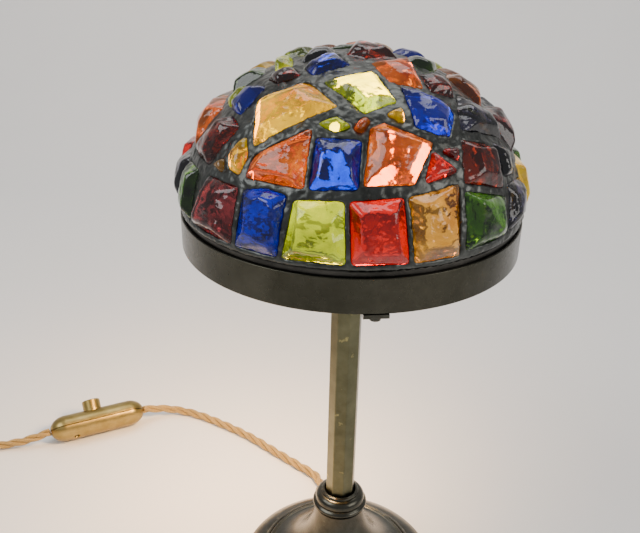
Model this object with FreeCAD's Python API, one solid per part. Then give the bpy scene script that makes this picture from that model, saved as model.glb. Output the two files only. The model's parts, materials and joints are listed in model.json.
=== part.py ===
"""Table lamp with a leaded dome of chunky coloured glass, an octagonal brass stem, a turned
base, an in-line push switch on a twisted lead, and a mains plug.  Millimetres, +Z up, origin
on the table under the stem's axis.  Azimuth 0 is the front (-Y) and grows towards +X."""
import FreeCAD, Part
import math
import os
import random

os.makedirs("parts", exist_ok=True)
V = FreeCAD.Vector
UP = V(0, 0, 1)
ORIGIN = V(0, 0, 0)

# ---- driving dimensions -------------------------------------------------------------------
BASE_R = 68.5
BASE_TOP = 57.0
BASE_WALL = 1.8
FELT_R = 65.0
FELT_T = 2.0
COLLAR_TOP = 70.5
COLLAR_BORE_R = 9.95
STEM_FOOT = 62.0
STEM_FLATS = 18.2
STEM_BORE_R = 6.6
STEM_TOP = 255.5
STEM_TURN = 13.6
ROD_R = 5.0
ROD_BORE_R = 4.0
ROD_LOW = 44.0
ROD_TOP = 267.0
RIVET_AT = 14.2

RING_R = 97.8
RING_FLANGE_R = 90.5
RING_SCREW_AT = 94.4
LEDGE_IN_R = 88.8
RING_WALL = 1.2
RING_LOW = 261.4
RING_TOP = 280.7
LEDGE_TOP = 277.8
ARM_T = 2.7
ARM_W = 13.0
ARM_AZIMUTHS = [8.5, 128.5, 248.5]

DOME_R = 99.0
DOME_H = 89.0
DOME_Z = 280.0
CAME_LOW = 278.1
CAME_TOP = 284.2
CAME_OUT_R = 96.0
CAME_IN_R = 89.6
LEAD_CLEAR = 0.05
LEAD_TURN = 11.0
LEAD_IN = 0.925
LEAD_OUT = 0.985
GLASS_IN = 0.915

HOLDER_LOW = RING_LOW
CORE_LOW = 268.5
CORE_TOP = 279.0
SLEEVE_TOP = 299.8
HOLDER_SCREW_AT = 10.4

BULB_R = 22.5
BULB_Z = 330.5
CAP_R = 6.9

FLEX_D = 7.0
EXIT_AZIMUTH = 191.0
EXIT_R = 72.0
NOTCH_FROM = 55.9
EXIT_Z = 6.1
FLOOR_Z = 3.7

SWITCH_L = 82.0
SWITCH_W = 27.0
SWITCH_H = 22.0
SWITCH_ROLL = 45.0
SWITCH_RIGHT = V(-182.2, 159.7, 12.4)
SWITCH_LEFT = V(-254.5, 121.0, 12.4)
SWITCH_SEAM = 0.25
SWITCH_WALL = 1.6
SWITCH_SCREWS = [(-20.0, -5.0), (20.0, 5.0)]
SCREW_HEAD_LOW = -9.0
SCREW_HEAD_TOP = -7.8
BLOCK_LOW = -6.4
BLOCK_TOP = 1.4
BUTTON_X = -2.5
BUTTON_R = 7.8
BUTTON_PROUD = 8.0
BUTTON_LOW = 5.4
SPRING_LOW = -1.0
SPRING_PITCH = 0.8

COIL_AT = V(-347.0, 62.0, 0)
COIL_OUT_R = 50.0
COIL_IN_R = 28.4
COIL_TOP = 13.6

PLUG_AT = V(-379.0, -24.0, 0)
PLUG_W = 49.0
PLUG_L = 50.0
PLUG_SPLIT = 10.6
PLUG_FACE = 19.5
PLUG_SCREW_Y = -24.0
PLUG_SEAT = 15.5
PIN_T = 4.0
# name, centre x and y from the plug's flex end, width, and reach beyond the face
PINS = [
    ("earth", 0.0, -37.2, 8.0, 22.7),
    ("live", 11.1, -15.0, 6.35, 17.7),
    ("neutral", -11.1, -15.0, 6.35, 17.7),
]


def export(name, solids):
    """Writes one sub-part; several separate solids go out as a compound."""
    solids = solids if isinstance(solids, list) else [solids]
    shape = solids[0] if len(solids) == 1 else Part.makeCompound(solids)
    if not shape.isValid():
        print("NOT VALID", name)
    print(f"{name:24s} solids {len(shape.Solids):3d}  volume {shape.Volume:10.1f}")
    shape.exportStep(f"parts/{name}.step")


def polar(azimuth, radius, z=0.0):
    a = math.radians(azimuth)
    return V(radius * math.sin(a), -radius * math.cos(a), z)


def cylinder(radius, low, high):
    return Part.makeCylinder(radius, high - low, V(0, 0, low))


def tube(outer, inner, low, high):
    return cylinder(outer, low, high).cut(cylinder(inner, low - 1, high + 1))


def turned(points):
    """Revolves a closed outline of (radius, height) points; a third value makes the stretch
    that ends there an arc that bulges by that much to the left of its direction."""
    edges = []
    closed = points + [points[0]]
    for start, end in zip(closed, closed[1:]):
        a = V(start[0], 0, start[1])
        b = V(end[0], 0, end[1])
        if len(end) == 3 and end[2]:
            run = b - a
            side = V(-run.z, 0, run.x).normalize()
            middle = (a + b) * 0.5 + side * end[2]
            edges.append(Part.Arc(a, middle, b).toShape())
        else:
            edges.append(Part.LineSegment(a, b).toShape())
    return Part.Face(Part.Wire(edges)).revolve(ORIGIN, UP, 360)


def prism(corners, low, high):
    """An upright prism on a closed outline of (x, y) corners."""
    outline = [V(x, y, low) for x, y in corners]
    return Part.Face(Part.makePolygon(outline + outline[:1])).extrude(V(0, 0, high - low))


def polygon(sides, across_flats, turn=0.0):
    radius = across_flats / 2 / math.cos(math.pi / sides)
    steps = [math.radians(turn + 360 * i / sides) for i in range(sides)]
    return [(radius * math.sin(a), -radius * math.cos(a)) for a in steps]


def rounded_path(points, share=0.45):
    """Straight runs joined by tangent arcs as large as the runs allow. Returns the wire and
    prints the smallest radius, so that no bend is tighter than the flex can take."""
    edges = []
    radii = []
    here = points[0]
    for before, corner, after in zip(points, points[1:], points[2:]):
        run_in = corner - before
        run_out = after - corner
        back = share * min(run_in.Length, run_out.Length)
        turn = run_in.getAngle(run_out)
        radius = back / math.tan(turn / 2)
        way_in = V(run_in).normalize()
        way_out = V(run_out).normalize()
        start = corner - way_in * back
        end = corner + way_out * back
        bisector = (way_out - way_in).normalize()
        centre = corner + bisector * (radius / math.cos(turn / 2))
        middle = centre - bisector * radius
        edges.append(Part.LineSegment(here, start).toShape())
        edges.append(Part.Arc(start, middle, end).toShape())
        radii.append(radius)
        here = end
    edges.append(Part.LineSegment(here, points[-1]).toShape())
    wire = Part.Wire(edges)
    print(f"  route {wire.Length:7.1f} long, smallest radius {min(radii):5.1f} of {len(radii)}")
    return wire


def flex(points, diameter=FLEX_D):
    wire = rounded_path(points)
    way = (points[1] - points[0]).normalize()
    section = Part.Wire(Part.makeCircle(diameter / 2, points[0], way))
    solid = wire.makePipeShell([section], True, False)
    ideal = math.pi * diameter ** 2 / 4 * wire.Length
    print(f"  tube volume is {solid.Volume / ideal:6.3f} of section times length")
    return solid


# ---- base ---------------------------------------------------------------------------------
def base_foot():
    """Spun bell: rim, outer slope, two fine beads, then a concave sweep up to a flat top."""
    w = BASE_WALL
    outline = [
        (BASE_R - 2.2, 0.7), (BASE_R - 0.4, 0.7), (BASE_R, 1.6, -0.3), (BASE_R - 0.5, 3.0, -0.3),
        (55.6, 9.2, -0.8), (54.6, 11.0, -0.5), (52.9, 11.0, -0.5), (52.4, 10.6), (51.8, 12.0, -0.4),
        (50.2, 12.4, -0.4), (49.4, 12.2), (17.0, BASE_TOP, 8.6), (ROD_R + 0.2, BASE_TOP),
        (ROD_R + 0.2, BASE_TOP - 2.5), (17.0 - w, BASE_TOP - 2.5), (48.6, 12.2 - w, -8.4),
        (55.0, 9.0 - w), (BASE_R - 2.2, 2.6),
    ]
    along = polar(EXIT_AZIMUTH, 1)
    passage = Part.makeCylinder(FLEX_D / 2 + 0.1, 15, polar(EXIT_AZIMUTH, 45, EXIT_Z), along)
    return turned(outline).cut(bush_notch(5.4)).cut(passage)


def bush_notch(radius):
    """The arch-shaped slot in the rim that the cable bush sits in, open to the table."""
    left = V(-radius, NOTCH_FROM, EXIT_Z)
    right = V(radius, NOTCH_FROM, EXIT_Z)
    arch = Part.Wire([
        Part.Arc(left, V(0, NOTCH_FROM, EXIT_Z + radius), right).toShape(),
        Part.LineSegment(right, V(radius, NOTCH_FROM, -1)).toShape(),
        Part.LineSegment(V(radius, NOTCH_FROM, -1), V(-radius, NOTCH_FROM, -1)).toShape(),
        Part.LineSegment(V(-radius, NOTCH_FROM, -1), left).toShape(),
    ])
    slot = Part.Face(arch).extrude(V(0, 40, 0))
    slot.rotate(ORIGIN, UP, EXIT_AZIMUTH - 180)
    return slot


def cable_bush():
    """Turned brass bush: a sleeve through the rim and a rounded outer flange."""
    along = polar(EXIT_AZIMUTH, 1)
    sleeve = Part.makeCylinder(5.3, 13.0, polar(EXIT_AZIMUTH, NOTCH_FROM + 0.1, EXIT_Z), along)
    flange = Part.makeCylinder(6.0, 3.0, polar(EXIT_AZIMUTH, 69, EXIT_Z), along)
    bore = Part.makeCylinder(FLEX_D / 2, 20, polar(EXIT_AZIMUTH, 55, EXIT_Z), along)
    rim = turned([(0, 0), (BASE_R + 0.05, 0), (BASE_R + 0.05, 3.0), (55.6, 9.3), (0, 9.3)])
    over_felt = cylinder(FELT_R + 0.2, -1, FELT_T)
    return sleeve.fuse(flange.cut(rim)).cut(bore).cut(over_felt).removeSplitter()


def base_weight():
    """Cast-iron ring that loads the foot, slotted for the flex."""
    ring = turned([(24, FELT_T), (58, FELT_T), (58, 5.6), (48.4, 9.6), (34, 14.5), (24, 14.5)])
    slot = Part.makeBox(11.2, 70, 20, V(-5.6, 0, FELT_T - 1))
    slot.rotate(ORIGIN, UP, EXIT_AZIMUTH - 180)
    return ring.cut(slot)


def base_collar():
    """Turned collar on top of the foot: a bead, an ovolo and a thin lip round the stem."""
    outline = [
        (ROD_R + 0.2, BASE_TOP), (16.8, BASE_TOP), (17.2, 58.2), (17.6, 58.4), (17.6, 61.9, -1.0),
        (17.0, 62.4), (16.6, 62.6), (13.2, 68.9, -1.5), (12.7, 68.9), (11.5, COLLAR_TOP, -0.5),
        (10.6, COLLAR_TOP, -0.3), (COLLAR_BORE_R, 69.2), (COLLAR_BORE_R, STEM_FOOT),
        (ROD_R + 0.2, STEM_FOOT),
    ]
    return turned(outline)


def hex_nut(across_flats, bore_r, low, high):
    return prism(polygon(6, across_flats), low, high).cut(cylinder(bore_r, low - 1, high + 1))


# ---- stem, spider and shade ring ----------------------------------------------------------
def stem():
    tube_solid = prism(polygon(8, STEM_FLATS, STEM_TURN), STEM_FOOT, STEM_TOP)
    edges = [e for e in tube_solid.Edges if abs(e.Length - (STEM_TOP - STEM_FOOT)) < 0.01]
    return tube_solid.makeChamfer(0.35, edges).cut(cylinder(STEM_BORE_R, 0, 300))


def spider_arms():
    """Three flat arms that carry the ring; each foot shows under its lower edge."""
    arms = []
    for azimuth in ARM_AZIMUTHS:
        bar = Part.makeBox(ARM_W, RING_R - 5.6, ARM_T, V(-ARM_W / 2, -RING_R - 0.4, RING_LOW - ARM_T))
        low_corners = [
            e for e in bar.Edges
            if abs(e.CenterOfMass.z - (RING_LOW - ARM_T)) < 0.01 and e.CenterOfMass.y < -RING_R
        ]
        bar = bar.makeFillet(1.2, low_corners)
        bar.rotate(ORIGIN, UP, azimuth)
        bar = bar.cut(cylinder(7.7, 250, 270))
        bar = bar.cut(Part.makeCylinder(1.6, 10, polar(azimuth, RING_SCREW_AT, 255)))
        arms.append(bar.cut(Part.makeCylinder(1.5, 10, polar(azimuth, RIVET_AT, 255))))
    return arms


def spider_hub():
    low = RING_LOW - ARM_T - 3.2
    hub = cylinder(17.5, low, low + 3.2).cut(cylinder(ROD_R + 0.2, 240, 270))
    for azimuth in ARM_AZIMUTHS:
        hub = hub.cut(Part.makeCylinder(1.5, 10, polar(azimuth, RIVET_AT, 250)))
    return hub


def spider_rivets():
    rivets = []
    for azimuth in ARM_AZIMUTHS:
        shank = Part.makeCylinder(1.5, 5.9, polar(azimuth, RIVET_AT, RING_LOW - ARM_T - 3.2))
        head = Part.makeCylinder(2.4, 0.7, polar(azimuth, RIVET_AT, RING_LOW))
        rivets.append(shank.fuse(head))
    return rivets


def ring_screws():
    """Pan-head screws up through the arms into the ring's lower flange."""
    screws = []
    for azimuth in ARM_AZIMUTHS:
        foot = RING_LOW - ARM_T
        shank = Part.makeCylinder(1.6, ARM_T + 1.6, polar(azimuth, RING_SCREW_AT, foot))
        head = Part.makeCylinder(2.9, 1.6, polar(azimuth, RING_SCREW_AT, foot - 1.6))
        screws.append(shank.fuse(head))
    return screws


def shade_ring():
    """Spun band with a softened upper edge and an inward flange along its foot."""
    inner = RING_R - RING_WALL
    outline = [
        (RING_FLANGE_R, RING_LOW), (RING_R - 0.6, RING_LOW), (RING_R, RING_LOW + 0.6, -0.17),
        (RING_R, RING_TOP - 0.5), (RING_R - 0.5, RING_TOP, -0.14), (inner, RING_TOP),
        (inner, RING_LOW + 1.6), (RING_FLANGE_R, RING_LOW + 1.6),
    ]
    ring = turned(outline)
    for azimuth in ARM_AZIMUTHS:
        ring = ring.cut(Part.makeCylinder(1.6, 10, polar(azimuth, RING_SCREW_AT, 255)))
    return ring


def ring_ledge():
    """Angle-section hoop inside the ring that the dome rests on."""
    outer = RING_R - RING_WALL
    return turned([
        (outer - 1.0, LEDGE_TOP - 8), (outer, LEDGE_TOP - 8), (outer, LEDGE_TOP),
        (LEDGE_IN_R, LEDGE_TOP), (LEDGE_IN_R, LEDGE_TOP - 1.2), (outer - 1.0, LEDGE_TOP - 1.2),
    ])


# ---- lampholder and bulb ------------------------------------------------------------------
def holder_cap():
    outline = [
        (ROD_R + 0.1, HOLDER_LOW), (9.6, HOLDER_LOW), (14.4, 267.5, -1.2), (14.4, 276.0),
        (13.2, 276.0), (13.2, 268.4, 0), (8.6, 263.2, 1.0), (ROD_R + 0.1, 263.2),
    ]
    return turned(outline)


def holder_skirt():
    body = tube(14.4, 13.2, 276.0, 300.0)
    bead = Part.makeTorus(14.4, 0.7, V(0, 0, 299.0))
    return body.fuse(bead)


def holder_shade_ring():
    """Threaded gripping ring on the skirt, with a coarse knurl."""
    ring = tube(18.0, 14.45, 284.0, 289.0)
    count = 24
    for i in range(count):
        notch = Part.makeCylinder(0.7, 7, polar(360 * i / count, 18.3, 283))
        ring = ring.cut(notch)
    return ring


def holder_core():
    core = cylinder(13.1, CORE_LOW, CORE_TOP).cut(cylinder(4.1, CORE_LOW - 1, CORE_LOW + 4))
    for side in (-1, 1):
        core = core.cut(Part.makeCylinder(1.5, 20, V(side * HOLDER_SCREW_AT, 0, CORE_TOP - 5)))
    return core


def holder_screws():
    return [
        Part.makeCylinder(1.5, 5.6, V(side * HOLDER_SCREW_AT, 0, CORE_TOP - 5)) for side in (-1, 1)
    ]


def holder_contact():
    """Springy centre tongue under the bulb's tip."""
    foot = Part.makeBox(4.0, 4.0, 0.5, V(-5.6, -2.0, CORE_TOP))
    tongue = Part.makeBox(6.4, 3.4, 0.4, V(-3.4, -1.7, CORE_TOP + 0.5))
    return foot.fuse(tongue)


def holder_sleeve():
    """Rolled E14 thread drawn as fine rings."""
    sleeve = tube(8.1, 7.4, CORE_TOP, SLEEVE_TOP)
    for i in range(6):
        sleeve = sleeve.fuse(Part.makeTorus(8.1, 0.45, V(0, 0, 283.5 + 2.8 * i)))
    return sleeve


def bulb_glass():
    """Pear shape: a ball that runs down into a narrow neck, blown thin."""
    def outline(inset, foot):
        ball = BULB_R - inset
        tangent = math.radians(-52)
        shoulder_r = ball * math.cos(tangent)
        shoulder_z = BULB_Z + ball * math.sin(tangent)
        top = V(0, 0, BULB_Z + ball)
        side = V(ball, 0, BULB_Z)
        shoulder = V(shoulder_r, 0, shoulder_z)
        neck = V(8.4 - inset, 0, foot)
        sweep = V((shoulder_r + neck.x) / 2 - 0.8, 0, (shoulder_z + foot) / 2 + 0.9)
        return [
            Part.LineSegment(V(0, 0, foot), neck).toShape(),
            Part.Arc(neck, sweep, shoulder).toShape(),
            Part.Arc(shoulder, side, top).toShape(),
            Part.LineSegment(top, V(0, 0, foot)).toShape(),
        ]
    outer = Part.Face(Part.Wire(outline(0, 303.2))).revolve(ORIGIN, UP, 360)
    inner = Part.Face(Part.Wire(outline(0.9, 302.0))).revolve(ORIGIN, UP, 360)
    return outer.cut(inner)


def bulb_cap():
    cap = tube(CAP_R, 6.1, 283.6, 300.4)
    for i in range(6):
        cap = cap.fuse(Part.makeTorus(CAP_R - 0.25, 0.45, V(0, 0, 285.2 + 2.6 * i)))
    collar = turned([(6.1, 300.4), (CAP_R, 300.4), (8.4, 303.2), (7.4, 303.2)])
    return cap.fuse(collar)


def bulb_insulator():
    return turned([(1.9, 280.9), (3.0, 280.9), (6.1, 283.6), (6.1, 285.2), (1.9, 285.2)])


def bulb_contact():
    return turned([(0, 280.2), (1.9, 280.9, -0.2), (1.9, 285.2), (0, 285.2)])


def bulb_mount():
    """Glass foot inside the bulb with the filament's support rods."""
    foot = turned([(0, 286.0), (5.0, 286.0), (5.0, 304.0), (2.4, 310.0), (2.4, 320.0), (0, 321.5)])
    for i in range(4):
        rod = Part.makeCylinder(0.35, 14.5, polar(45 + 90 * i, 1.6, 318.0), polar(45 + 90 * i, 0.55, 1))
        foot = foot.fuse(rod)
    return foot


def bulb_filament():
    """Coiled filament, drawn as a thin hoop carried by the support rods."""
    return Part.makeTorus(8.7, 0.5, V(0, 0, 331.6))


# ---- dome ---------------------------------------------------------------------------------
def on_dome(azimuth, lift, k):
    """A point on the dome scaled by k about its centre. Lift is 0 at the ring, 90 on top."""
    t = math.radians(lift)
    p = polar(azimuth, DOME_R * math.cos(t) * k)
    return V(p.x, p.y, DOME_Z + DOME_H * math.sin(t) * k)


# Glass pieces that are laid by hand, row by row from the ring up: colour and its corners as
# (azimuth, lift) in degrees.
HAND_LAID = [
    ("smoke", [(-86, 7), (-72, 7), (-76, 22), (-88, 22)]),
    ("green", [(-70, 6), (-59, 6), (-62, 22), (-73, 22)]),
    ("plum", [(-57, 5), (-37, 5), (-38, 23), (-53, 23)]),
    ("cobalt", [(-35, 5), (-21, 5), (-20, 24), (-27, 25), (-35, 23)]),
    ("lime", [(-19, 5), (-1, 5), (-2, 24), (-17, 23)]),
    ("red", [(1, 5), (17, 5), (16, 25), (0, 24)]),
    ("honey", [(19, 5), (33, 5), (36, 27), (28, 26), (18, 25)]),
    ("green", [(36, 6), (54, 6), (57, 18), (38, 24)]),
    ("smoke", [(57, 6), (70, 7), (75, 19), (61, 21)]),
    ("maroon", [(-74, 26), (-56, 26), (-51, 41), (-61, 43)]),
    ("honey", [(-53, 27), (-47, 26), (-49, 30)]),
    ("amber", [(-45, 28), (-39, 27), (-39, 33), (-44, 39), (-47, 33)]),
    ("orange", [(-36, 27), (-15, 27), (-17, 46), (-36, 34)]),
    ("cobalt", [(-13, 27), (2, 28), (3, 43), (-14, 43)]),
    ("orange", [(4, 29), (20, 29), (31, 41), (13, 49), (7, 47)]),
    ("red", [(24, 29), (37, 31), (30, 38)]),
    ("red", [(34, 38), (39, 34), (41, 38)]),
    ("maroon", [(39, 27), (57, 21), (60, 35), (45, 40)]),
    ("smoke", [(61, 24), (67, 23), (70, 32), (63, 35)]),
    ("cobalt", [(-67, 45), (-56, 45), (-60, 57), (-70, 54)]),
    ("lime", [(-77, 45), (-69, 45), (-72, 53), (-80, 53)]),
    ("amber", [(-38, 37), (-9, 55), (-34, 64), (-53, 51)]),
    ("lime", [(-15, 48), (-7, 46), (-1, 48), (-8, 51)]),
    ("orange", [(3, 46), (7, 50), (5, 51), (0, 47)]),
    ("lime", [(5, 53), (22, 57), (17, 72), (-22, 65)]),
    ("amber", [(15, 52), (22, 49), (23, 54)]),
    ("cobalt", [(27, 47), (40, 42), (51, 49), (49, 54), (31, 63)]),
    ("smoke", [(49, 43), (74, 34), (75, 41), (67, 54), (56, 50)]),
    ("maroon", [(-67, 60), (-54, 60), (-45, 66), (-62, 68)]),
    ("cobalt", [(-36, 68), (-8, 76), (-60, 83), (-52, 70)]),
    ("orange", [(25, 66), (46, 61), (68, 73), (24, 78)]),
    ("maroon", [(50, 59), (62, 54), (75, 61), (59, 67)]),
    ("green", [(80, 65), (98, 63), (106, 73), (80, 73)]),
    ("peach", [(78, 46), (96, 46), (98, 59), (85, 60)]),
    ("maroon", [(-35, 85), (20, 81), (80, 77), (130, 80), (200, 84)]),
    ("green", [(150, 77), (200, 77), (240, 78), (215, 81)]),
    ("smoke", [(262, 75), (292, 72), (292, 82), (256, 83)]),
]
# Rows of the dome's back: lowest and highest lift, first and last azimuth, how many pieces.
BACK_ROWS = [
    (6, 23, 77, 272, 11),
    (27, 43, 78, 283, 11),
    (47, 59, 99, 278, 8),
    (63, 74, 109, 254, 5),
    (63, 69, 258, 290, 1),
]
BACK_COLOURS = [
    "amber", "cobalt", "red", "green", "honey", "plum", "lime", "orange",
    "smoke", "cobalt", "peach", "amber", "maroon", "lime",
]


def back_pieces():
    """Irregular four-cornered pieces that fill each back row, with a lead line between."""
    dice = random.Random(7)
    pieces = []
    for row, (low, high, first, last, count) in enumerate(BACK_ROWS):
        step = (last - first) / count
        lead = 3.4 / (DOME_R * math.cos(math.radians((low + high) / 2))) * 57.3
        low_cuts = [first + step * i + dice.uniform(-0.09, 0.09) * step for i in range(count + 1)]
        high_cuts = [cut + dice.uniform(-0.08, 0.08) * step for cut in low_cuts]
        for i in range(count):
            colour = BACK_COLOURS[(5 * row + 3 * i) % len(BACK_COLOURS)]
            corners = [
                (low_cuts[i] + lead / 2, low + dice.uniform(-0.6, 0.6)),
                (low_cuts[i + 1] - lead / 2, low + dice.uniform(-0.6, 0.6)),
                (high_cuts[i + 1] - lead / 2, high + dice.uniform(-1.2, 0.6)),
                (high_cuts[i] + lead / 2, high + dice.uniform(-1.2, 0.6)),
            ]
            pieces.append((colour, corners))
    return pieces


def solid_from(faces):
    """A closed solid from flat faces, each given by its corner points."""
    shell = Part.makeShell([Part.Face(Part.makePolygon(f + f[:1])) for f in faces])
    solid = Part.Solid(shell)
    if solid.Volume < 0:
        solid.reverse()
    return solid


def spoke_block(corners, inner_k, outer_k):
    """The solid between two scales of the dome whose sides all point at the dome's centre."""
    low = [on_dome(az, lift, inner_k) for az, lift in corners]
    high = [on_dome(az, lift, outer_k) for az, lift in corners]
    low_mid = sum(low, V()) * (1 / len(low))
    high_mid = sum(high, V()) * (1 / len(high))
    faces = []
    for i in range(len(corners)):
        j = (i + 1) % len(corners)
        faces.append([low[i], low[j], high[j], high[i]])
        faces.append([low[j], low[i], low_mid])
        faces.append([high[i], high[j], high_mid])
    return solid_from(faces)


def chunk(corners, dice):
    """A knapped chunk: straight sides, a sloping bevel all round and an uneven crown."""
    low = [on_dome(az, lift, GLASS_IN) for az, lift in corners]
    rim = [on_dome(az, lift, LEAD_OUT) for az, lift in corners]
    rim_mid = sum(rim, V()) * (1 / len(rim))
    low_mid = sum(low, V()) * (1 / len(low))
    centre = V(0, 0, DOME_Z)
    out = (rim_mid - centre).normalize()
    width = min((p - rim_mid).Length for p in rim)
    height = min(7.4, 1.4 + 0.38 * width)
    crown = []
    for p in rim:
        inward = rim_mid + (p - rim_mid) * dice.uniform(0.50, 0.72)
        crown.append(inward + out * height * dice.uniform(0.60, 1.0))
    top = sum(crown, V()) * (1 / len(crown)) + out * height * 0.15
    faces = []
    for i in range(len(corners)):
        j = (i + 1) % len(corners)
        faces.append([low[i], low[j], rim[j], rim[i]])
        faces.append([low[j], low[i], low_mid])
        faces.append([rim[i], rim[j], crown[j]])
        faces.append([rim[i], crown[j], crown[i]])
        faces.append([crown[i], crown[j], top])
    return solid_from(faces)


def dome_lead(pieces):
    """The lattice: a shell between two ellipses with a hole for every glass piece. It is made
    in quarters, so that no face closes on itself."""
    def arc(k):
        a, b = DOME_R * k, DOME_H * k
        ellipse = Part.Ellipse(V(a, 0, DOME_Z), V(0, 0, DOME_Z + b), V(0, 0, DOME_Z))
        start = math.asin((CAME_TOP + LEAD_CLEAR - DOME_Z) / b)
        return Part.ArcOfEllipse(ellipse, start, math.pi / 2).toShape()
    outer = arc(LEAD_OUT)
    inner = arc(LEAD_IN)
    ends = [sorted(e.Vertexes, key=lambda v: v.Point.z) for e in (outer, inner)]
    foot = Part.LineSegment(ends[0][0].Point, ends[1][0].Point).toShape()
    axis = Part.LineSegment(ends[0][1].Point, ends[1][1].Point).toShape()
    outline = Part.Face(Part.Wire(Part.__sortEdges__([outer, axis, inner, foot])))
    holes = [spoke_block(corners, LEAD_IN - 0.03, LEAD_OUT + 0.05) for _, corners in pieces]
    quarters = []
    for i in range(4):
        start = outline.copy()
        start.rotate(ORIGIN, UP, LEAD_TURN + 90 * i)
        quarters += start.revolve(ORIGIN, UP, 90).cut(Part.makeCompound(holes)).Solids
    return quarters


def dome_came():
    """U-shaped edge came: the dome's smooth lower hoop."""
    return turned([
        (CAME_IN_R, CAME_LOW), (CAME_OUT_R - 0.8, CAME_LOW), (CAME_OUT_R, CAME_LOW + 0.8, -0.23),
        (CAME_OUT_R, CAME_TOP - 1.0), (CAME_OUT_R - 1.0, CAME_TOP, -0.3), (CAME_IN_R, CAME_TOP),
    ])


# ---- in-line switch -----------------------------------------------------------------------
def switch_placement():
    """Local X runs to the lamp-side end, local Z is the button's axis, rolled off upright."""
    along = (SWITCH_RIGHT - SWITCH_LEFT).normalize()
    middle = (SWITCH_RIGHT + SWITCH_LEFT) * 0.5
    heading = math.degrees(math.atan2(along.y, along.x))
    turn = FreeCAD.Rotation(UP, heading).multiply(FreeCAD.Rotation(V(1, 0, 0), -SWITCH_ROLL))
    return FreeCAD.Placement(middle, turn)


def in_switch(shape):
    placed = shape.copy()
    placed.Placement = switch_placement().multiply(placed.Placement)
    return placed


def switch_pill(inset):
    """Oval pill: an oval bar with turned ends, all of it an inset smaller."""
    half_w = SWITCH_W / 2 - inset
    half_h = SWITCH_H / 2 - inset
    straight = SWITCH_L - SWITCH_W
    ball = Part.makeSphere(half_w, V(-straight / 2, 0, 0))
    bar = Part.makeCylinder(half_w, straight, V(-straight / 2, 0, 0), V(1, 0, 0))
    other = Part.makeSphere(half_w, V(straight / 2, 0, 0))
    pill = bar.fuse([ball, other]).removeSplitter()
    squash = FreeCAD.Matrix()
    squash.scale(1, 1, half_h / half_w)
    return pill.transformGeometry(squash)


def switch_halves():
    """Upper and lower shells with a fine shadow gap between them."""
    skin = switch_pill(0)
    hollow = switch_pill(SWITCH_WALL)
    flex_bore = Part.makeCylinder(FLEX_D / 2, 200, V(-100, 0, 0), V(1, 0, 0))
    shell = skin.cut(hollow).cut(flex_bore)
    half = SWITCH_SEAM / 2
    upper = shell.common(Part.makeBox(100, 40, 20, V(-50, -20, half)))
    lower = shell.common(Part.makeBox(100, 40, 20, V(-50, -20, -20 - half)))
    upper = upper.cut(Part.makeCylinder(BUTTON_R + 0.35, 20, V(BUTTON_X, 0, 2)))
    for x, y in SWITCH_SCREWS:
        boss = Part.makeCylinder(3.4, 10, V(x, y, BLOCK_LOW - 10)).common(skin)
        head_room = Part.makeCylinder(2.4, 20, V(x, y, SCREW_HEAD_TOP - 20))
        lower = lower.fuse(boss).cut(head_room).cut(Part.makeCylinder(1.2, 20, V(x, y, -20)))
    return upper, lower


def switch_block():
    """Moulded insert: contact carrier under the button and a saddle for each flex end."""
    block = Part.makeBox(46, 19, BLOCK_TOP - BLOCK_LOW, V(-23, -9.5, BLOCK_LOW))
    upright = [e for e in block.Edges if abs(e.Length - (BLOCK_TOP - BLOCK_LOW)) < 0.01]
    block = block.makeFillet(2.0, upright).common(switch_pill(SWITCH_WALL + 0.3))
    for x, y in SWITCH_SCREWS:
        block = block.cut(Part.makeCylinder(1.1, 3.0, V(x, y, BLOCK_LOW - 1)))
    return block.cut(Part.makeCylinder(4.0, 8, V(BUTTON_X, 0, SPRING_LOW - 0.6)))


def switch_screws():
    screws = []
    for x, y in SWITCH_SCREWS:
        head = Part.makeCylinder(2.35, SCREW_HEAD_TOP - SCREW_HEAD_LOW, V(x, y, SCREW_HEAD_LOW))
        slot = Part.makeBox(6, 0.6, 0.6, V(x - 3, y - 0.3, SCREW_HEAD_LOW - 0.1))
        shank = Part.makeCylinder(1.1, BLOCK_LOW + 2.0 - SCREW_HEAD_LOW, V(x, y, SCREW_HEAD_LOW))
        screws.append(head.fuse(shank).cut(slot))
    return screws


def switch_button():
    top = SWITCH_H / 2 + BUTTON_PROUD
    cap = Part.makeCylinder(BUTTON_R, top - BUTTON_LOW, V(BUTTON_X, 0, BUTTON_LOW))
    crown = [e for e in cap.Edges if abs(e.CenterOfMass.z - top) < 0.01 and e.Length > 30]
    return cap.makeFillet(0.7, crown)


def switch_spring():
    """Return spring under the button: its coils, at the length it has when pressed."""
    return [
        Part.makeTorus(3.0, 0.35, V(BUTTON_X, 0, SPRING_LOW + SPRING_PITCH * i)) for i in range(5)
    ]


# ---- plug ---------------------------------------------------------------------------------
def in_plug(shape):
    placed = shape.copy()
    placed.translate(PLUG_AT)
    return placed


def plug_outline(low, high):
    """Plan of the plug: narrow at the flex end, broad and rounded at the earth end."""
    neck = 15.0
    half = PLUG_W / 2
    slab = prism(
        [(-neck, 0), (neck, 0), (half, -12), (half, -PLUG_L), (-half, -PLUG_L), (-half, -12)],
        low, high,
    )
    upright = [e for e in slab.Edges if abs(e.Length - (high - low)) < 0.01]
    return slab.makeFillet(6.0, upright)


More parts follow.
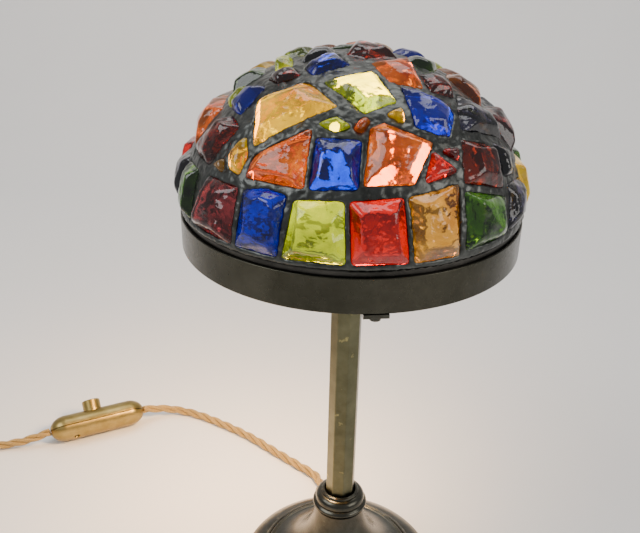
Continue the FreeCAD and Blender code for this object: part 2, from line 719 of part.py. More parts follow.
def plug_cover():
    """Rounded back of the plug, which lies on the table."""
    cover = plug_outline(0, PLUG_SPLIT)
    lower_edges = [e for e in cover.Edges if all(v.Point.z < 0.01 for v in e.Vertexes)]
    cover = cover.makeFillet(3.0, lower_edges)
    cavity = Part.makeBox(34, 34, PLUG_SPLIT - 2.5, V(-17, -44, 2.5))
    grip = Part.makeCylinder(5.0, 14, V(0, 2, PLUG_SPLIT), V(0, -1, 0))
    boss = Part.makeCylinder(4.0, PLUG_SPLIT - 2.5, V(0, PLUG_SCREW_Y, 2.5))
    screw_hole = Part.makeCylinder(1.6, 20, V(0, PLUG_SCREW_Y, PLUG_SEAT - 11.0))
    return cover.cut(cavity).cut(grip).fuse(boss).cut(screw_hole)


def plug_base():
    """Pin side of the plug."""
    base = plug_outline(PLUG_SPLIT, PLUG_FACE)
    upper_edges = [e for e in base.Edges if all(v.Point.z > PLUG_FACE - 0.01 for v in e.Vertexes)]
    base = base.makeFillet(1.2, upper_edges)
    base = base.cut(Part.makeCylinder(5.0, 14, V(0, 2, PLUG_SPLIT), V(0, -1, 0)))
    for name, x, y, size, _ in PINS:
        base = base.cut(pin_box(name, x, y, size, 0, 60))
    base = base.cut(Part.makeCylinder(1.6, 20, V(0, PLUG_SCREW_Y, PLUG_SPLIT - 1)))
    return base.cut(Part.makeCylinder(3.2, 20, V(0, PLUG_SCREW_Y, PLUG_SEAT)))


def pin_box(name, x, y, size, low, high):
    """The earth pin stands across the plug, the other two lie along it."""
    wide, deep = (PIN_T, size) if name == "earth" else (size, PIN_T)
    return Part.makeBox(wide, deep, high - low, V(x - wide / 2, y - deep / 2, low))


def plug_pins():
    pins = []
    for name, x, y, size, reach in PINS:
        pin = pin_box(name, x, y, size, PLUG_SPLIT, PLUG_FACE + reach)
        tip = [e for e in pin.Edges if all(v.Point.z > PLUG_FACE + reach - 0.01 for v in e.Vertexes)]
        pins.append(pin.makeChamfer(0.9, tip))
    return pins


def plug_screw():
    head = Part.makeCylinder(3.1, 2.2, V(0, PLUG_SCREW_Y, PLUG_SEAT))
    shank = Part.makeCylinder(1.6, 11.0, V(0, PLUG_SCREW_Y, PLUG_SEAT - 11.0))
    slot = Part.makeBox(8, 0.8, 1.0, V(-4, PLUG_SCREW_Y - 0.4, PLUG_SEAT + 1.4))
    return head.fuse(shank).cut(slot)


def plug_sleeve():
    """Ribbed tapered sleeve where the flex enters the plug."""
    root = Part.makeCylinder(4.95, 11.5, V(0, -11.5, PLUG_SPLIT), V(0, 1, 0))
    taper = Part.makeCone(5.8, 4.3, 24.0, V(0, 0, PLUG_SPLIT), V(0, 1, 0))
    bore = Part.makeCylinder(FLEX_D / 2, 60, V(0, -20, PLUG_SPLIT), V(0, 1, 0))
    sleeve = root.fuse(taper).cut(bore)
    for i in range(4):
        groove = tube(8, 4.4 - 0.12 * i, 0, 1.6)
        groove.rotate(ORIGIN, V(1, 0, 0), -90)
        groove.translate(V(0, 5.0 + 4.2 * i, PLUG_SPLIT))
        sleeve = sleeve.cut(groove)
    return sleeve


# ---- routes of the flex -------------------------------------------------------------------
BASE_TO_SWITCH = [
    polar(EXIT_AZIMUTH, EXIT_R, EXIT_Z), polar(EXIT_AZIMUTH, EXIT_R + 16.5, 5.0),
    V(-34, 101, FLOOR_Z), V(-58, 119.5, FLOOR_Z), V(-82, 139, FLOOR_Z), V(-107, 154, FLOOR_Z),
    V(-130.5, 166.5, FLOOR_Z), V(-150, 171.5, 4.8), V(-168.1, 167.3, 9.3), SWITCH_RIGHT,
]
SWITCH_TO_COIL = [
    SWITCH_LEFT, V(-268.6, 113.5, 9.6), V(-286, 112, 5.0), V(-306, 107.5, FLOOR_Z),
    V(-326.5, 108.5, FLOOR_Z), V(-347, 108.4, FLOOR_Z),
]
SLEEVE_TIP = PLUG_AT + V(0, 24.0, PLUG_SPLIT)
COIL_TO_PLUG = [
    V(-388.5, 58, 10.0), V(-388.8, 40, 10.2), V(-385, 24, 10.4), V(-379.6, 12, 10.6), SLEEVE_TIP,
]


def inner_flex():
    """Flex inside the lamp: in through the bush, round a bend and up the threaded tube."""
    radius = 16.0
    start = polar(EXIT_AZIMUTH, EXIT_R, EXIT_Z)
    bend_in = polar(EXIT_AZIMUTH, radius, EXIT_Z)
    centre = polar(EXIT_AZIMUTH, radius, EXIT_Z + radius)
    middle = centre + (polar(EXIT_AZIMUTH, -1) - UP) * (radius / math.sqrt(2))
    bend_out = V(0, 0, EXIT_Z + radius)
    edges = [
        Part.LineSegment(start, bend_in).toShape(),
        Part.Arc(bend_in, middle, bend_out).toShape(),
        Part.LineSegment(bend_out, V(0, 0, CORE_LOW)).toShape(),
    ]
    section = Part.Wire(Part.makeCircle(3.4, start, polar(EXIT_AZIMUTH, 1)))
    return Part.Wire(edges).makePipeShell([section], True, False)


def coil():
    """Outer shape of the put-away coil of flex."""
    edge = 3.0
    return turned([
        (COIL_IN_R, edge), (COIL_IN_R + edge, 0.2), (COIL_OUT_R - edge, 0.2), (COIL_OUT_R, edge),
        (COIL_OUT_R, 7.2), (COIL_OUT_R - 3.0, COIL_TOP), (COIL_IN_R + 3.0, COIL_TOP), (COIL_IN_R, 7.2),
    ]).translate(COIL_AT)


def main():
    export("base_felt", cylinder(FELT_R, 0, FELT_T))
    export("base_foot", base_foot())
    export("base_weight", base_weight())
    export("base_collar", base_collar())
    export("cable_bush", cable_bush())
    export("base_washer", tube(9.0, ROD_R + 0.2, BASE_TOP - 4.0, BASE_TOP - 2.5))
    export("base_nut", hex_nut(14.0, ROD_R, BASE_TOP - 9.0, BASE_TOP - 4.0))
    export("stem", stem())
    export("stem_rod", tube(ROD_R, ROD_BORE_R, ROD_LOW, ROD_TOP))
    export("inner_flex", inner_flex())

    export("spider_hub", spider_hub())
    export("spider_arms", spider_arms())
    export("spider_rivets", spider_rivets())
    export("ring_screws", ring_screws())
    export("shade_ring", shade_ring())
    export("ring_ledge", ring_ledge())

    export("holder_cap", holder_cap())
    export("holder_skirt", holder_skirt())
    export("holder_shade_ring", holder_shade_ring())
    export("holder_core", holder_core())
    export("holder_screws", holder_screws())
    export("holder_contact", holder_contact())
    export("holder_sleeve", holder_sleeve())
    export("bulb_glass", bulb_glass())
    export("bulb_cap", bulb_cap())
    export("bulb_insulator", bulb_insulator())
    export("bulb_contact", bulb_contact())
    export("bulb_mount", bulb_mount())
    export("bulb_filament", bulb_filament())

    pieces = HAND_LAID + back_pieces()
    dice = random.Random(3)
    by_colour = {}
    for colour, corners in pieces:
        by_colour.setdefault(colour, []).append(chunk(corners, dice))
    for colour, chunks in sorted(by_colour.items()):
        export("glass_" + colour, chunks)
    export("dome_lead", dome_lead(pieces))
    export("dome_came", dome_came())

    upper, lower = switch_halves()
    export("switch_upper", in_switch(upper))
    export("switch_lower", in_switch(lower))
    export("switch_block", in_switch(switch_block()))
    export("switch_screws", [in_switch(s) for s in switch_screws()])
    export("switch_button", in_switch(switch_button()))
    export("switch_spring", [in_switch(s) for s in switch_spring()])
    way = switch_placement().Rotation.multVec(V(0, 0, -1))
    print("  button presses along", [round(c, 5) for c in way])

    export("flex_to_switch", flex(BASE_TO_SWITCH))
    export("flex_to_coil", flex(SWITCH_TO_COIL))
    export("flex_coil", coil())
    export("flex_to_plug", flex(COIL_TO_PLUG))
    export("plug_cover", in_plug(plug_cover()))
    export("plug_base", in_plug(plug_base()))
    export("plug_pins", [in_plug(p) for p in plug_pins()])
    export("plug_screw", in_plug(plug_screw()))
    export("plug_sleeve", in_plug(plug_sleeve()))


main()
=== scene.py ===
"""Looks of a lit table lamp with a dome of leaded chunk glass. Metres, in the CAD frame."""
import json
import math
import random

import bmesh
import bpy
from mathutils import Matrix, Vector, noise


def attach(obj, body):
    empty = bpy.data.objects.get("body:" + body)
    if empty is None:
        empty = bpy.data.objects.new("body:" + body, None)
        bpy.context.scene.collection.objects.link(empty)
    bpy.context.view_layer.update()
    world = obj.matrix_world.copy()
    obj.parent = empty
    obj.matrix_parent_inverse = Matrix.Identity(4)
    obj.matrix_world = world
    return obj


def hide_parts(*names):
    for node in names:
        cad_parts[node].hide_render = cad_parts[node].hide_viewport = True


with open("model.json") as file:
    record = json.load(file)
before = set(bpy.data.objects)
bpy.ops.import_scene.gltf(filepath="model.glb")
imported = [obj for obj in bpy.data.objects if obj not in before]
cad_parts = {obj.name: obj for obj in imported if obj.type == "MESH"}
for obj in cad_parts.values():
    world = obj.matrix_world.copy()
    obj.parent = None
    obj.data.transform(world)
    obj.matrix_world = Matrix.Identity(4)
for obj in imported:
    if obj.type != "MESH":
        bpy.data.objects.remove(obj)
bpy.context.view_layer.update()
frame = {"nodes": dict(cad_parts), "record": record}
NODES = frame["nodes"]

# ---- driving dimensions -------------------------------------------------------------------
DOME_CENTRE = Vector((0, 0, 0.280))
BULB_CENTRE = Vector((0, 0, 0.3305))
FLEX_D = 0.007
STRAND_R = 0.0017
STRAND_LAY = 0.0019
TWIST_PITCH = 0.040
GLASS_VOXEL = 0.00085
GLASS_SWELL = 0.0007
LEAD_VOXEL = 0.00085
SWITCH_MIDDLE = Vector((-0.21835, 0.14035, 0.0124))
SWITCH_UP = Vector((-0.3337, 0.62342, 0.70711))
SEAM_REACH = 0.0002
SEAM_OPENS = 0.00022

CAMERA_AT = Vector((0, -0.43749, 0.44868))
CAMERA_PITCH = 0.44496
CAMERA_YAW = -0.0391073
CAMERA_ROLL = 0.0207235
CAMERA_LENS = 45.12

# ---- routes of the free flex, the same points as the CAD tubes -------------------------------
BASE_EXIT = Vector((-0.013738, 0.070677, 0.0061))
BASE_TO_SWITCH = [
    BASE_EXIT, (-0.016887, 0.086874, 0.0050), (-0.034, 0.101, 0.0037), (-0.058, 0.1195, 0.0037),
    (-0.082, 0.139, 0.0037), (-0.107, 0.154, 0.0037), (-0.1305, 0.1665, 0.0037),
    (-0.150, 0.1715, 0.0048), (-0.1681, 0.1673, 0.0093), (-0.1822, 0.1597, 0.0124),
]
SWITCH_LEFT = Vector((-0.2545, 0.1210, 0.0124))
SWITCH_TO_COIL = [
    SWITCH_LEFT, (-0.2686, 0.1135, 0.0096), (-0.286, 0.112, 0.0050), (-0.306, 0.1075, 0.0037),
    (-0.3265, 0.1085, 0.0037),
]
COIL_TO_PLUG = [
    (-0.3888, 0.040, 0.0102), (-0.385, 0.024, 0.0104), (-0.3796, 0.012, 0.0106),
    (-0.379, 0.0, 0.0106),
]
COIL_AT = (-0.347, 0.062)
COIL_OUT = 0.0464
COIL_TURNS = 5.25
COIL_TURN_BACK = 2.5
COIL_POINTS = 12
LAYER_LOW = 0.0037
LAYER_HIGH = 0.0104


# ---- camera -------------------------------------------------------------------------------
def make_camera():
    sin_p, cos_p = math.sin(CAMERA_PITCH), math.cos(CAMERA_PITCH)
    sin_y, cos_y = math.sin(CAMERA_YAW), math.cos(CAMERA_YAW)
    ahead = Vector((sin_y * cos_p, cos_y * cos_p, -sin_p))
    right = Vector((cos_y, -sin_y, 0))
    up = right.cross(ahead)
    sin_r, cos_r = math.sin(CAMERA_ROLL), math.cos(CAMERA_ROLL)
    tilted_right = cos_r * right + sin_r * up
    tilted_up = cos_r * up - sin_r * right
    turn = Matrix((tilted_right, tilted_up, -ahead)).transposed().to_4x4()
    data = bpy.data.cameras.new("camera")
    data.sensor_width = 36
    data.lens = CAMERA_LENS
    camera = bpy.data.objects.new("camera", data)
    camera.matrix_world = Matrix.Translation(CAMERA_AT) @ turn
    bpy.context.collection.objects.link(camera)
    bpy.context.scene.camera = camera


# ---- node helpers -------------------------------------------------------------------------
class Nodes:
    """A material's node tree, with short calls for the nodes used here."""

    def __init__(self, name):
        self.material = bpy.data.materials.new(name)
        self.material.use_nodes = True
        self.tree = self.material.node_tree
        self.shader = self.tree.nodes["Principled BSDF"]
        self.place = self.add("ShaderNodeTexCoord").outputs["Object"]

    def add(self, kind, **values):
        node = self.tree.nodes.new(kind)
        for key, value in values.items():
            setattr(node, key, value)
        return node

    def link(self, output, socket):
        self.tree.links.new(output, socket)

    def noise(self, scale, detail=4.0, rough=0.55, distortion=0.0):
        node = self.add("ShaderNodeTexNoise")
        node.inputs["Scale"].default_value = scale
        node.inputs["Detail"].default_value = detail
        node.inputs["Roughness"].default_value = rough
        node.inputs["Distortion"].default_value = distortion
        self.link(self.place, node.inputs["Vector"])
        return node.outputs["Fac"]

    def ramp(self, value, stops):
        node = self.add("ShaderNodeValToRGB")
        bar = node.color_ramp.elements
        while len(bar) < len(stops):
            bar.new(0.5)
        for element, (position, colour) in zip(bar, stops):
            element.position = position
            element.color = (*colour, 1)
        self.link(value, node.inputs["Fac"])
        return node.outputs["Color"]

    def spread(self, value, low, high):
        node = self.add("ShaderNodeMapRange")
        node.inputs["To Min"].default_value = low
        node.inputs["To Max"].default_value = high
        self.link(value, node.inputs["Value"])
        return node.outputs["Result"]

    def bump(self, value, distance, strength=1.0, under=None):
        node = self.add("ShaderNodeBump")
        node.inputs["Distance"].default_value = distance
        node.inputs["Strength"].default_value = strength
        self.link(value, node.inputs["Height"])
        if under:
            self.link(under, node.inputs["Normal"])
        return node.outputs["Normal"]

    def set(self, **values):
        for key, value in values.items():
            self.shader.inputs[key.replace("_", " ")].default_value = value


def metal(name, dark, light, rough, grain=90.0, bump=0.00004, worn=None):
    """Patinated metal: cloudy colour, uneven polish, fine pitting and small rubbed patches."""
    n = Nodes(name)
    n.set(Metallic=1.0)
    cloud = n.noise(grain, 6.0, 0.6)
    colour = n.ramp(cloud, [(0.34, dark), (0.68, light)])
    if worn:
        patches = n.noise(140.0, 3.0, 0.5)
        mask = n.ramp(patches, [(0.66, (0, 0, 0)), (0.72, (0.8, 0.8, 0.8))])
        mix = n.add("ShaderNodeMix", data_type="RGBA")
        n.link(mask, mix.inputs["Factor"])
        n.link(colour, mix.inputs["A"])
        mix.inputs["B"].default_value = (*worn, 1)
        colour = mix.outputs["Result"]
    n.link(colour, n.shader.inputs["Base Color"])
    n.link(n.spread(n.noise(grain * 2.3), rough - 0.07, rough + 0.10), n.shader.inputs["Roughness"])
    n.link(n.bump(n.noise(grain * 14, 3.0), bump), n.shader.inputs["Normal"])
    return n.material


def plain(name, dark, light, rough, grain=200.0, bump=0.00003):
    """Moulded or soft matter: slightly uneven colour and a fine skin."""
    n = Nodes(name)
    n.link(n.ramp(n.noise(grain), [(0.3, dark), (0.7, light)]), n.shader.inputs["Base Color"])
    n.link(n.spread(n.noise(grain * 0.5), rough - 0.05, rough + 0.05), n.shader.inputs["Roughness"])
    n.link(n.bump(n.noise(grain * 6), bump), n.shader.inputs["Normal"])
    return n.material


def chunk_glass(name, deep, bright, painted_glow, rough=0.09):
    """Thick coloured glass with swirls and ripples; its shadow is tinted, not black. The glass also
    emits a painted glow of its own colour, cloudy, in place of the bulb's light scattered inside it."""
    n = Nodes(name)
    n.set(Transmission_Weight=1.0, IOR=1.5, Coat_Weight=0.2, Coat_Roughness=0.03)
    # Painted glow: the glass emits light of its own, though it is no lamp.
    n.set(Emission_Strength=painted_glow)
    painted_glow_cloud = n.noise(34.0, 3.0, 0.5, 1.2)
    painted_glow_dim = [0.35 * a for a in deep]
    n.link(n.ramp(painted_glow_cloud, [(0.38, painted_glow_dim), (0.64, bright)]), n.shader.inputs["Emission Color"])
    swirl = n.noise(46.0, 5.0, 0.6, 1.6)
    n.link(n.ramp(swirl, [(0.30, deep), (0.70, bright)]), n.shader.inputs["Base Color"])
    n.link(n.spread(n.noise(70.0), rough - 0.07, rough + 0.07), n.shader.inputs["Roughness"])
    ripple = n.bump(n.noise(150.0, 2.0, 0.5, 0.8), 0.0006, 0.55)
    n.link(ripple, n.shader.inputs["Normal"])
    n.link(ripple, n.shader.inputs["Coat Normal"])
    clear = n.add("ShaderNodeBsdfTransparent")
    clear.inputs["Color"].default_value = (*[0.25 * a + 0.75 * b for a, b in zip(deep, bright)], 1)
    mix = n.add("ShaderNodeMixShader")
    n.link(n.add("ShaderNodeLightPath").outputs["Is Shadow Ray"], mix.inputs[0])
    n.link(n.shader.outputs[0], mix.inputs[1])
    n.link(clear.outputs[0], mix.inputs[2])
    n.link(mix.outputs[0], n.tree.nodes["Material Output"].inputs["Surface"])
    return n.material


def braid():
    """Silky braided sleeve: crossing diagonal plaits over the strand's own round and length."""
    n = Nodes("flex_braid")
    uv = n.add("ShaderNodeUVMap", uv_map="strand").outputs["UV"]
    plaits = []
    for side in (-1, 1):
        turn = n.add("ShaderNodeMapping")
        turn.inputs["Rotation"].default_value = (0, 0, side * math.radians(38))
        wave = n.add("ShaderNodeTexWave")
        wave.inputs["Scale"].default_value = 3.4
        n.link(uv, turn.inputs["Vector"])
        n.link(turn.outputs["Vector"], wave.inputs["Vector"])
        plaits.append(wave.outputs["Fac"])
    weave = n.add("ShaderNodeMath", operation="MAXIMUM")
    n.link(plaits[0], weave.inputs[0])
    n.link(plaits[1], weave.inputs[1])
    # The braid's golden colour follows the weave's height: painted shade in the grooves between plaits and
    # a painted highlight on the crests.
    plait_colour_and_shade = [(0.15, (0.13, 0.062, 0.010)), (0.62, (0.40, 0.23, 0.055)), (1.0, (0.66, 0.43, 0.13))]
    n.link(n.ramp(weave.outputs[0], plait_colour_and_shade), n.shader.inputs["Base Color"])
    n.link(n.bump(weave.outputs[0], 0.00022), n.shader.inputs["Normal"])
    n.set(Roughness=0.42, Sheen_Weight=0.15, Sheen_Roughness=0.35)
    return n.material


def glow(name, colour, strength):
    n = Nodes(name)
    n.set(Emission_Strength=strength, Roughness=0.3)
    n.shader.inputs["Emission Color"].default_value = (*colour, 1)
    n.link(n.ramp(n.noise(60), [(0, (0.9, 0.8, 0.65)), (1, (1, 0.92, 0.8))]), n.shader.inputs["Base Color"])
    return n.material


# deep colour, bright colour, and the strength of the painted glow the glass emits in place of the bulb's
# light
GLASS = {
    "amber": ((0.60, 0.24, 0.0), (0.92, 0.60, 0.0), 0.60),
    "cobalt": ((0.0, 0.001, 0.07), (0.0, 0.010, 0.50), 0.22),
    "green": ((0.008, 0.045, 0.002), (0.08, 0.24, 0.004), 0.10),
    "honey": ((0.34, 0.10, 0.001), (0.74, 0.38, 0.04), 0.25),
    "lime": ((0.18, 0.26, 0.0), (0.60, 0.68, 0.0), 0.50),
    "maroon": ((0.040, 0.002, 0.001), (0.30, 0.022, 0.001), 0.07),
    "orange": ((0.42, 0.035, 0.0), (0.86, 0.20, 0.0), 0.34),
    "peach": ((0.34, 0.06, 0.0), (0.76, 0.21, 0.004), 0.28),
    "plum": ((0.050, 0.004, 0.006), (0.28, 0.03, 0.035), 0.06),
    "red": ((0.26, 0.0, 0.0), (0.72, 0.010, 0.001), 0.34),
    "smoke": ((0.010, 0.008, 0.022), (0.06, 0.055, 0.12), 0.02),
}


def make_materials():
    bronze = ((0.050, 0.048, 0.038), (0.088, 0.085, 0.069))
    brass = ((0.25, 0.175, 0.050), (0.41, 0.30, 0.105))
    made = {
        "felt": plain("felt", (0.012, 0.03, 0.016), (0.03, 0.06, 0.035), 0.95, 900, 0.0002),
        "bronze": metal("bronze", *bronze, 0.22, worn=(0.14, 0.13, 0.095)),
        "ring_bronze": metal("ring_bronze", (0.042, 0.040, 0.029), (0.070, 0.066, 0.050), 0.26, 40),
        "stem_brass": metal("stem_brass", (0.095, 0.090, 0.050), (0.155, 0.147, 0.085), 0.30, 60,
                            worn=(0.36, 0.31, 0.13)),
        "antique_brass": metal("antique_brass", *brass, 0.34, 70),
        "raw_brass": metal("raw_brass", (0.55, 0.38, 0.14), (0.78, 0.58, 0.27), 0.26),
        "iron": plain("iron", (0.02, 0.02, 0.02), (0.06, 0.055, 0.05), 0.75, 300, 0.0003),
        "steel": metal("steel", (0.38, 0.38, 0.38), (0.62, 0.62, 0.61), 0.28),
        "nickel": metal("nickel", (0.5, 0.49, 0.46), (0.7, 0.69, 0.66), 0.22),
        "porcelain": plain("porcelain", (0.74, 0.71, 0.64), (0.83, 0.80, 0.74), 0.22),
        "bulb_envelope": glow("bulb_envelope", (1.0, 0.58, 0.22), 26.0),
        "bulb_insulator": plain("bulb_insulator", (0.01, 0.01, 0.012), (0.03, 0.03, 0.035), 0.15),
        "filament": glow("filament", (1.0, 0.55, 0.2), 60.0),
        "lead": metal("lead", (0.050, 0.052, 0.048), (0.105, 0.110, 0.104), 0.30, 120, 0.00008),
        "came": metal("came", (0.035, 0.033, 0.030), (0.075, 0.070, 0.062), 0.36, 60),
        "bakelite": plain("bakelite", (0.018, 0.010, 0.007), (0.035, 0.020, 0.013), 0.20, 60),
        "rubber": plain("rubber", (0.012, 0.012, 0.012), (0.025, 0.025, 0.025), 0.6),
        "flex_braid": braid(),
    }
    for colour, (deep, bright, painted_glow) in GLASS.items():
        made["glass_" + colour] = chunk_glass("glass_" + colour, deep, bright, painted_glow)
    return made


def dress_cad(materials):
    """Every CAD node gets its slot's material."""
    for part in frame["record"]["subparts"]:
        obj = NODES[part["node"]]
        obj.data.materials.clear()
        obj.data.materials.append(materials[part["material_slot"]])


# ---- glass chunks and lead ----------------------------------------------------------------
def copy_of(node, name):
    mesh = NODES[node].data.copy()
    mesh.name = name
    obj = bpy.data.objects.new(name, mesh)
    bpy.context.collection.objects.link(obj)
    return obj


def apply_modifiers(obj):
    bpy.context.view_layer.update()
    seen = obj.evaluated_get(bpy.context.evaluated_depsgraph_get())
    mesh = bpy.data.meshes.new_from_object(seen)
    obj.modifiers.clear()
    old = obj.data
    obj.data = mesh
    bpy.data.meshes.remove(old)


def reshape(obj, shift):
    """Moves every point by shift(place, normal), with the normals all read first."""
    mesh = obj.data
    places = [v.co.copy() for v in mesh.vertices]
    normals = [Vector(n.vector) for n in mesh.vertex_normals]
    moved = []
    for place, normal in zip(places, normals):
        moved.extend(place + shift(place, normal))
    mesh.vertices.foreach_set("co", moved)
    mesh.update()


def islands(mesh):
    """The mesh's separate closed pieces, as lists of vertices."""
    left = set(mesh.verts)
    found = []
    while left:
        stack = [left.pop()]
        piece = []
        while stack:
            vert = stack.pop()
            piece.append(vert)
            for edge in vert.link_edges:
                other = edge.other_vert(vert)
                if other in left:
                    left.remove(other)
                    stack.append(other)
        found.append(piece)
    return found


def knap(mesh, piece, dice):
    """Strikes a few shallow flakes off a chunk's outer side."""
    middle = sum((v.co for v in piece), Vector()) / len(piece)
    out = (middle - DOME_CENTRE).normalized()
    top = max((v.co - middle).dot(out) for v in piece)
    wide = max((v.co - middle).length for v in piece)
    verts = list(piece)
    for _ in range(4):
        lean = Vector([dice.uniform(-1, 1) for _ in range(3)])
        normal = (out + 0.75 * (lean - out * lean.dot(out))).normalized()
        reach = max((v.co - middle).dot(normal) for v in verts if v.is_valid)
        cut_at = middle + normal * (reach - dice.uniform(0.02, 0.07) * wide)
        if (cut_at - middle).dot(normal) < 0.45 * top:
            continue
        live = [v for v in verts if v.is_valid]
        faces = list({f for v in live for f in v.link_faces})
        edges = list({e for v in live for e in v.link_edges})
        cut = bmesh.ops.bisect_plane(
            mesh, geom=live + edges + faces, plane_co=cut_at, plane_no=normal, clear_outer=True
        )
        rim = [e for e in cut["geom_cut"] if isinstance(e, bmesh.types.BMEdge)]
        filled = bmesh.ops.holes_fill(mesh, edges=rim)["faces"]
        verts = [v for v in live if v.is_valid]
        verts += [v for f in filled for v in f.verts]
        verts = list(dict.fromkeys(verts))


def glass_ripple(place, normal):
    ripple = noise.noise(place * 160) + 0.5 * noise.noise(place * 420)
    return normal * (GLASS_SWELL + 0.00028 * ripple)


def solder_bead(place, normal):
    out = (place - DOME_CENTRE).normalized()
    lump = noise.noise(place * 190) + 0.6 * noise.noise(place * 480)
    proud = max(0.0, normal.dot(out))
    return normal * 0.00020 * lump + out * proud * (0.0004 + 0.0004 * lump)


def make_glass(materials):
    dice = random.Random(11)
    for colour in sorted(GLASS):
        node = "glass_" + colour
        obj = copy_of(node, "chunks_" + colour)
        mesh = bmesh.new()
        mesh.from_mesh(obj.data)
        bmesh.ops.remove_doubles(mesh, verts=mesh.verts, dist=0.00001)
        for piece in islands(mesh):
            knap(mesh, piece, dice)
        mesh.to_mesh(obj.data)
        mesh.free()
        remesh = obj.modifiers.new("remesh", "REMESH")
        remesh.mode = "VOXEL"
        remesh.voxel_size = GLASS_VOXEL
        smooth = obj.modifiers.new("smooth", "SMOOTH")
        smooth.factor = 0.5
        smooth.iterations = 3
        apply_modifiers(obj)
        reshape(obj, glass_ripple)
        obj.data.shade_smooth()
        obj.data.materials.clear()
        obj.data.materials.append(materials[node])
        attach(obj, "dome_shade")
        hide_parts(node)


def make_switch_seam(materials):
    """The two halves of the switch, with the joint between them opened to the width it shows."""
    halves = []
    for node, side in (("switch_upper", 1), ("switch_lower", -1)):
        obj = copy_of(node, node + "_half")

        def open_rim(place, normal):
            at_rim = abs((place - SWITCH_MIDDLE).dot(SWITCH_UP)) < SEAM_REACH
            return SWITCH_UP * (side * SEAM_OPENS * at_rim)

        reshape(obj, open_rim)
        obj.data.materials.clear()
        obj.data.materials.append(materials["antique_brass"])
        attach(obj, "root")
        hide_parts(node)
        halves.append(obj)
    return halves


def make_lead(materials):
    """Solder beads: the lattice swollen, softened and lumpy, proud of the glass edges."""
    obj = copy_of("dome_lead", "lead_beads")
    remesh = obj.modifiers.new("remesh", "REMESH")
    remesh.mode = "VOXEL"
    remesh.voxel_size = LEAD_VOXEL
    smooth = obj.modifiers.new("smooth", "SMOOTH")
    smooth.factor = 0.5
    smooth.iterations = 6
    apply_modifiers(obj)
    reshape(obj, solder_bead)
    obj.data.shade_smooth()
    obj.data.materials.clear()
    obj.data.materials.append(materials["lead"])
    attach(obj, "dome_shade")
    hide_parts("dome_lead")


# ---- flex ---------------------------------------------------------------------------------
def coil_points():
    """Two flat layers of turns: winding in on the table, then out on top of itself."""
    points = []
    for i in range(int(COIL_TURNS * COIL_POINTS) + 1):
        turn = i / COIL_POINTS
        angle = math.radians(90 + 360 * turn)
        inward = min(turn, COIL_TURN_BACK)
        outward = max(0.0, turn - COIL_TURN_BACK - 0.25)
        radius = COIL_OUT - FLEX_D * (inward - outward)
        rise = min(1.0, max(0.0, (turn - COIL_TURN_BACK + 0.05) / 0.3))
        height = LAYER_LOW + (LAYER_HIGH - LAYER_LOW) * rise * rise * (3 - 2 * rise)
        x = COIL_AT[0] + radius * math.cos(angle)
        y = COIL_AT[1] + radius * math.sin(angle)
        points.append((x, y, height))
    return points


def centreline(points):
    """Points along the smooth NURBS line that has the route as its control points."""
    curve = bpy.data.curves.new("route", "CURVE")
    curve.dimensions = "3D"
    curve.resolution_u = 16
    spline = curve.splines.new("NURBS")
    spline.points.add(len(points) - 1)
    for knot, point in zip(spline.points, points):
        knot.co = (*point, 1)
    spline.order_u = 3
    spline.use_endpoint_u = True
    obj = bpy.data.objects.new("route", curve)
    bpy.context.collection.objects.link(obj)
    bpy.context.view_layer.update()
    seen = obj.evaluated_get(bpy.context.evaluated_depsgraph_get())
    line = [v.co.copy() for v in bpy.data.meshes.new_from_object(seen).vertices]
    bpy.data.objects.remove(obj)
    return line


def even_steps(line, step):
    """The same line in equal steps."""
    total = sum((b - a).length for a, b in zip(line, line[1:]))
    count = max(2, round(total / step))
    wanted = total / count
    out = [line[0].copy()]
    walked = 0.0
    for a, b in zip(line, line[1:]):
        run = (b - a).length
        while run > 0 and walked + run >= wanted * len(out) - 1e-9 and len(out) <= count:
            out.append(a.lerp(b, (wanted * len(out) - walked) / run))
        walked += run
    return out, total


def twisted_flex(name, points, material):
    """Three braided strands laid round the centreline. Returns the piece and its path."""
    line, total = even_steps(centreline(points), 0.0013)
    sides = 10
    verts, faces, spots = [], [], []
    side = Vector((0, 0, 1))
    frames = []
    for i, point in enumerate(line):
        ahead = (line[min(i + 1, len(line) - 1)] - line[max(i - 1, 0)]).normalized()
        side = (side - ahead * side.dot(ahead)).normalized()
        frames.append((point, side.copy(), ahead.cross(side)))
    step = total / (len(line) - 1)
    for strand in range(3):
        first = len(verts)
        for i, (point, one, two) in enumerate(frames):
            twist = 2 * math.pi * (i * step / TWIST_PITCH + strand / 3)
            centre = point + (one * math.cos(twist) + two * math.sin(twist)) * STRAND_LAY
            for k in range(sides):
                a = 2 * math.pi * k / sides + twist
                verts.append(centre + (one * math.cos(a) + two * math.sin(a)) * STRAND_R)
        for i in range(len(frames) - 1):
            for k in range(sides):
                low, high = first + i * sides, first + (i + 1) * sides
                nxt = (k + 1) % sides
                faces.append((low + k, low + nxt, high + nxt, high + k))
                spots.append((i, k))
        faces.append(tuple(first + k for k in reversed(range(sides))))
        spots.append(None)
        faces.append(tuple(first + (len(frames) - 1) * sides + k for k in range(sides)))
        spots.append(None)
    mesh = bpy.data.meshes.new(name)
    mesh.from_pydata(verts, [], faces)
    layer = mesh.uv_layers.new(name="strand")
    for face, spot in zip(mesh.polygons, spots):
        if spot is None:
            continue
        i, k = spot
        along, wide = step * 1000, 2 * math.pi * STRAND_R * 1000 / sides
        corners = [(k, i), (k + 1, i), (k + 1, i + 1), (k, i + 1)]
        for loop, (u, v) in zip(face.loop_indices, corners):
            layer.data[loop].uv = (u * wide, v * along)
    mesh.shade_smooth()
    obj = bpy.data.objects.new(name, mesh)
    obj.data.materials.append(material)
    bpy.context.collection.objects.link(obj)
    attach(obj, "root")
    return obj, line


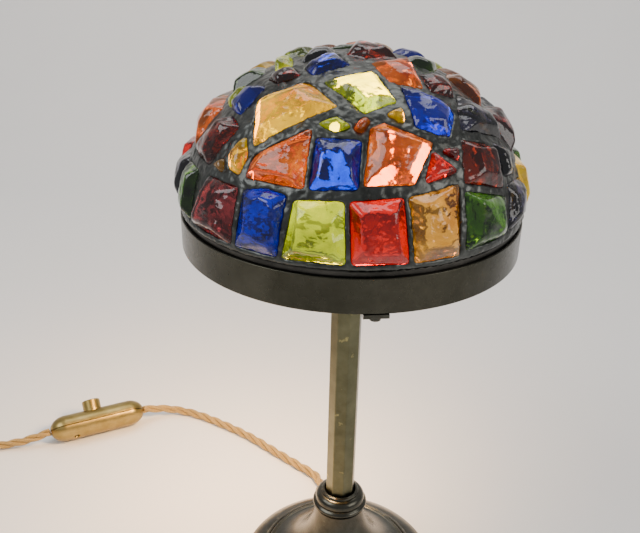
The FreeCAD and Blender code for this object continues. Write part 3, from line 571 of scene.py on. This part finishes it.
def make_flex(materials, switch_halves):
    near, path = twisted_flex("flex_base_to_switch", BASE_TO_SWITCH, materials["flex_braid"])
    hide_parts("flex_to_switch")
    route = SWITCH_TO_COIL + coil_points() + COIL_TO_PLUG
    far, path = twisted_flex("flex_switch_to_plug", route, materials["flex_braid"])
    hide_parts("flex_to_coil", "flex_coil", "flex_to_plug")


# ---- floor, lights ------------------------------------------------------------------------
def make_stage():
    """A pale floor that sweeps up into the backdrop."""
    profile = [(-2.0, 0.0), (0.75, 0.0)]
    profile += [(0.75 + 0.5 * math.sin(a), 0.5 - 0.5 * math.cos(a)) for a in
                [math.radians(9 * i) for i in range(1, 11)]]
    profile.append((1.25, 2.2))
    verts = [(x, y, z - 0.0001) for y, z in profile for x in (-2.5, 2.5)]
    faces = [(2 * i, 2 * i + 1, 2 * i + 3, 2 * i + 2) for i in range(len(profile) - 1)]
    mesh = bpy.data.meshes.new("floor")
    mesh.from_pydata(verts, [], faces)
    mesh.shade_smooth()
    floor = bpy.data.objects.new("floor", mesh)
    floor.data.materials.append(plain("floor", (0.86, 0.84, 0.815), (0.89, 0.87, 0.845), 0.6, 3, 0))
    bpy.context.collection.objects.link(floor)


def area_light(name, place, aim, size, power, colour):
    data = bpy.data.lights.new(name, "AREA")
    data.shape = "RECTANGLE"
    data.size, data.size_y = size
    data.energy = power
    data.color = colour
    obj = bpy.data.objects.new(name, data)
    obj.location = place
    obj.rotation_euler = (Vector(aim) - Vector(place)).to_track_quat("-Z", "Y").to_euler()
    bpy.context.collection.objects.link(obj)


def make_lights():
    area_light("window", (-1.1, -0.5, 1.3), (0, 0, 0.2), (1.1, 0.9), 13, (0.96, 0.98, 1.0))
    area_light("fill", (1.2, -0.6, 0.9), (0, 0, 0.2), (0.9, 0.7), 7, (1.0, 0.96, 0.92))
    area_light("top", (0.1, 0.5, 1.5), (0, 0.1, 0.2), (1.2, 0.8), 9, (1.0, 1.0, 1.0))
    area_light("spill", (-0.03, 0.03, 0.21), (-0.22, 0.17, 0), (0.06, 0.06), 1.8, (1.0, 0.62, 0.30))
    world = bpy.data.worlds.new("world")
    world.use_nodes = True
    sky = world.node_tree.nodes["Background"]
    sky.inputs["Color"].default_value = (0.84, 0.85, 0.87, 1)
    sky.inputs["Strength"].default_value = 0.50
    bpy.context.scene.world = world


make_camera()
MATERIALS = make_materials()
dress_cad(MATERIALS)
make_flex(MATERIALS, make_switch_seam(MATERIALS))
make_glass(MATERIALS)
make_lead(MATERIALS)
make_stage()
make_lights()
bpy.context.view_layer.update()
